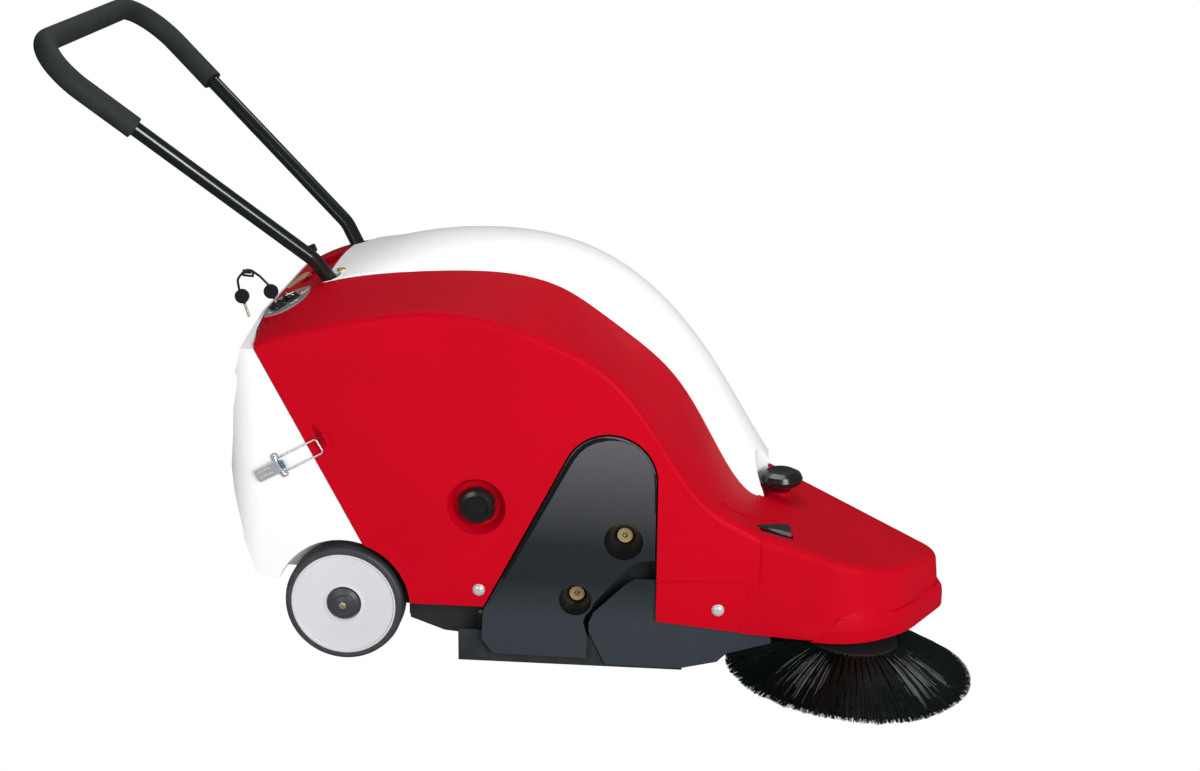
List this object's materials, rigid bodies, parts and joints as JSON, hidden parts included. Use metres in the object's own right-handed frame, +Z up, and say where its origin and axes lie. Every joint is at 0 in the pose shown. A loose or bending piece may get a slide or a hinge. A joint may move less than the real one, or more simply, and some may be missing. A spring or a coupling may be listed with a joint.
{
  "type": "walk-behind sweeper",
  "caption": "Walk-behind floor sweeper with a red moulded body, white hood and rear waste container, tube handle, rear wheels, front castor, main brush and a side brush under the nose.",
  "frame": {"origin": "on the floor below the middle of the rear axle", "axes": "+X forward towards the side brush, +Y to the machine's left, +Z up"},
  "size_m": [1.5488, 0.7733, 1.0343],
  "materials": {
    "red_plastic": "satin moulded red",
    "white_plastic": "satin moulded white",
    "black_plastic": "grained black",
    "grey_plastic": "satin light grey",
    "panel_grey": "printed grey plate",
    "lamp": "clear coloured lamp",
    "foam": "soft foam rubber",
    "tyre_rubber": "grey-black rubber",
    "seal_rubber": "black rubber",
    "bristle": "black bristles",
    "black_paint": "gloss black paint",
    "chassis_paint": "satin black paint",
    "zinc": "zinc-plated steel",
    "motor_metal": "painted motor can",
    "battery_case": "moulded case",
    "brass": "turned brass"
  },
  "bodies": {
    "machine": {"body_shell": "red_plastic", "handle_tube": "black_paint", "handle_grip": "foam", "hood_hinge": "zinc", "chassis_frame": "chassis_paint", "belt_cover": "black_plastic", "spindle_bushes": "brass", "left_cover": "black_plastic", "front_skirts": "black_plastic", "rear_axle": "zinc", "battery": "battery_case", "drive_motor": "motor_metal", "side_brush_motor": "motor_metal", "side_brush_arm": "chassis_paint", "side_seals": "seal_rubber", "cross_flaps": "seal_rubber", "brush_height_knob": "black_plastic", "nose_knob": "black_plastic", "nose_insert": "black_plastic", "clamp_knob": "black_plastic", "control_panel": "panel_grey", "key_switch": "black_plastic", "rocker_switch": "black_plastic", "indicator_lamps": "lamp", "key_heads": "black_plastic", "key_blades": "zinc", "shell_screws": "zinc", "latch_keepers": "zinc"},
    "hood_lid": {"hood": "white_plastic", "hood_grommet": "brass"},
    "wheel_right": {"tyre_right": "tyre_rubber", "wheel_disc_right": "grey_plastic", "hub_cap_right": "black_plastic"},
    "wheel_left": {"tyre_left": "tyre_rubber", "wheel_disc_left": "grey_plastic", "hub_cap_left": "black_plastic"},
    "castor_swivel": {"castor_fork": "zinc"},
    "castor_roller": {"castor_wheel": "seal_rubber"},
    "main_brush": {"main_brush_roller": "black_plastic", "main_brush_bristles": "bristle"},
    "side_brush": {"side_brush_disc": "black_plastic", "side_brush_bristles": "bristle"},
    "container": {"waste_container": "white_plastic", "latch_levers": "zinc", "latch_loops": "zinc"}
  },
  "joints": [
    {"name": "hood_hinge", "type": "hinge", "parent": "machine", "child": "hood_lid", "pos_m": [-0.045, 0, 0.6132], "axis": [0, -1, 0], "range_deg": [0, 50]},
    {"name": "wheel_right_spin", "type": "hinge", "parent": "machine", "child": "wheel_right", "pos_m": [0, -0.275, 0.1], "axis": [0, 1, 0], "continuous": true},
    {"name": "wheel_left_spin", "type": "hinge", "parent": "machine", "child": "wheel_left", "pos_m": [0, 0.275, 0.1], "axis": [0, 1, 0], "continuous": true},
    {"name": "castor_swivel", "type": "hinge", "parent": "machine", "child": "castor_swivel", "pos_m": [0.622, 0.04, 0.1], "axis": [0, 0, 1], "continuous": true},
    {"name": "castor_spin", "type": "hinge", "parent": "castor_swivel", "child": "castor_roller", "pos_m": [0.596, 0.04, 0.04], "axis": [0, 1, 0], "continuous": true},
    {"name": "main_brush_spin", "type": "hinge", "parent": "machine", "child": "main_brush", "pos_m": [0.393, 0, 0.143], "axis": [0, 1, 0], "continuous": true},
    {"name": "side_brush_spin", "type": "hinge", "parent": "machine", "child": "side_brush", "pos_m": [0.843, -0.258, 0], "axis": [0.0698, 0, 0.9976], "continuous": true},
    {"name": "container_slide", "type": "slide", "parent": "machine", "child": "container", "axis": [-1, 0, 0], "range_m": [0, 0.4]}
  ]
}
